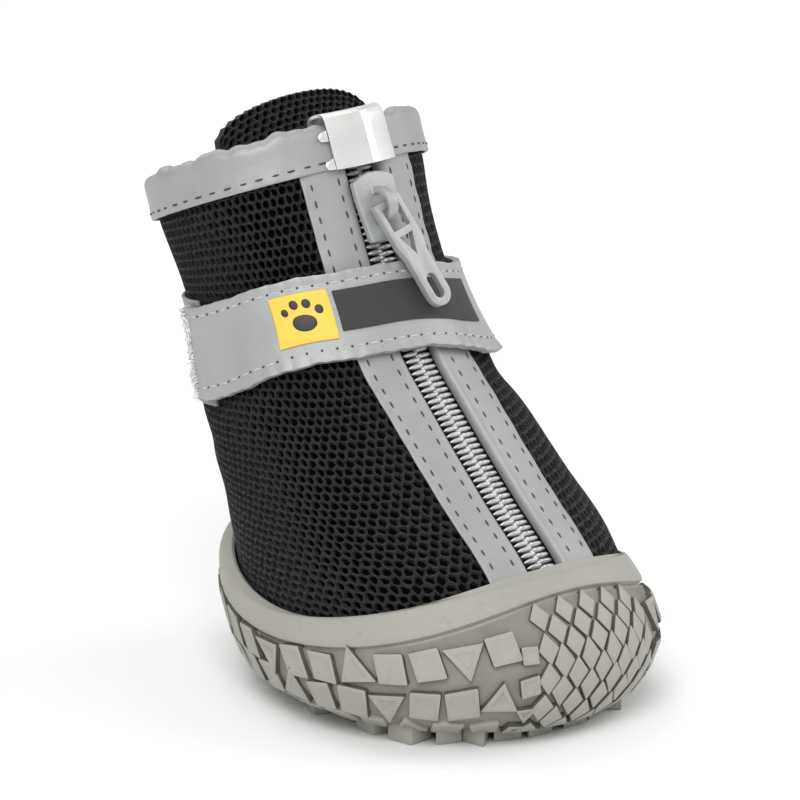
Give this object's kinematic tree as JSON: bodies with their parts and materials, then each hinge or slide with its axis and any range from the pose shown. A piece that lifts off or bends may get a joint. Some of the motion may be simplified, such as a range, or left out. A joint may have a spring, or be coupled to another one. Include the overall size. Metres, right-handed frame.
{
  "type": "dog boot",
  "caption": "Dog boot with a block-tread rubber cup sole, hollow mesh upper, front zip, reflective collar binding, gusset and ankle strap.",
  "frame": {"origin": "centre of the flat pad of tread under the middle of the foot, on the plane that the sole stands on", "axes": "toe towards -Y, up the shaft towards +Z, the boot's right side, where the strap ends, towards -X"},
  "size_m": [0.061, 0.0898, 0.0856],
  "materials": {
    "sole_rubber": "moulded matt",
    "insole_foam": "matt",
    "air_mesh": "open mesh",
    "reflective_fabric": "satin",
    "zip_tape": "woven",
    "zip_coil": "satin",
    "clip_steel": "bright",
    "slider_paint": "satin",
    "loop_pile": "brushed"
  },
  "bodies": {
    "boot": {"outsole": "sole_rubber", "insole": "insole_foam", "upper": "air_mesh", "tongue": "air_mesh", "collar_binding": "reflective_fabric", "zip_tape": "zip_tape", "zip_chain": "zip_coil", "top_clip": "clip_steel", "strap": "reflective_fabric", "loop_patch": "loop_pile", "slider": "slider_paint"},
    "pull": {"pull_tab": "slider_paint"}
  },
  "joints": [
    {"name": "pull_tab_swing", "type": "hinge", "parent": "boot", "child": "pull", "pos_m": [0, 0.01094, 0.0725], "axis": [-1, 0, 0], "range_deg": [0, 150]}
  ]
}
